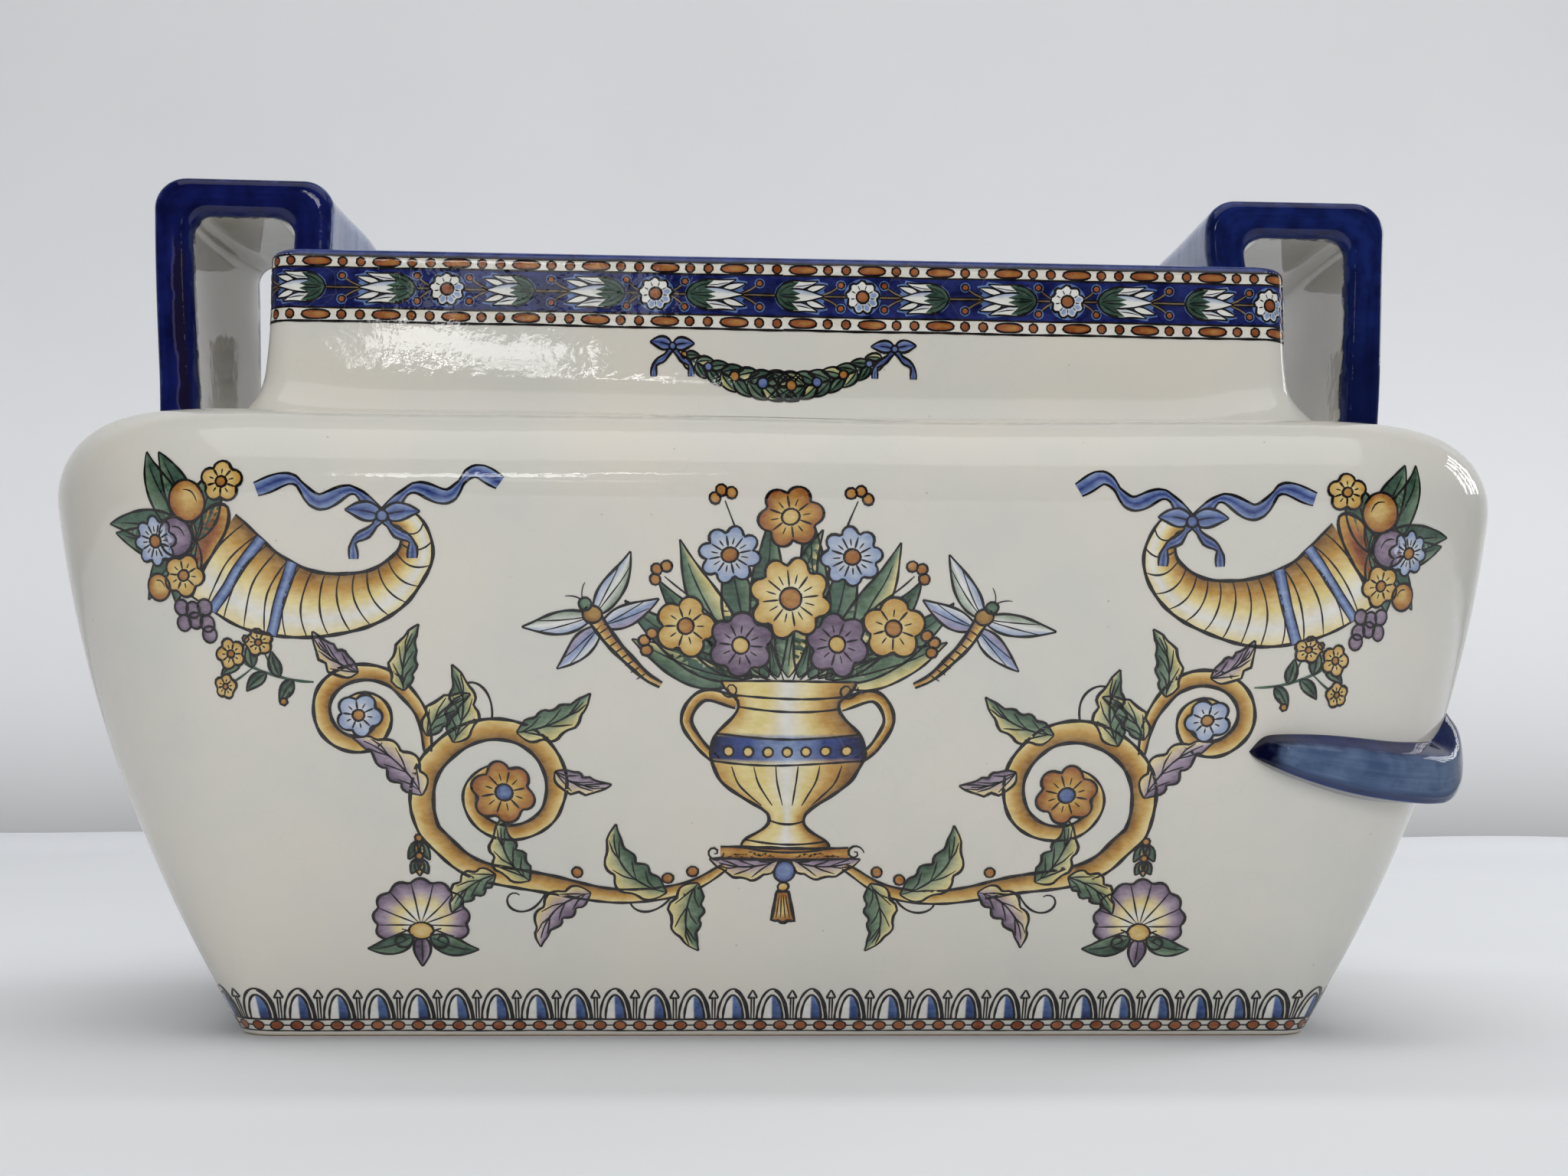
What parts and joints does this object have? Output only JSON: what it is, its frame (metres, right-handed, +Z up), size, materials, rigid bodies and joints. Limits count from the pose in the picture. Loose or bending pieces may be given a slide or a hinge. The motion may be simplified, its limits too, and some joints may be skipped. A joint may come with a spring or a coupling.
{
  "type": "cachepot",
  "caption": "Rectangular glazed earthenware cachepot with tapering walls, rounded shoulder, upright neck, strap handles and folded strap ends at opposite corners.",
  "frame": {"origin": "middle of the foot, on the table", "axes": "+X along the length towards the right-hand handle, -Y towards the front with the visible strap end on its right, +Z up"},
  "size_m": [0.36, 0.212, 0.22],
  "materials": {
    "body_glaze": "glossy cream glaze with painted ornament",
    "strap_glaze": "glossy brushed cobalt glaze"
  },
  "bodies": {
    "root": {"base_slab": "body_glaze", "lower_body": "body_glaze", "upper_body": "body_glaze", "left_handle": "strap_glaze", "right_handle": "strap_glaze", "left_strap_end": "strap_glaze", "right_strap_end": "strap_glaze"}
  },
  "joints": []
}
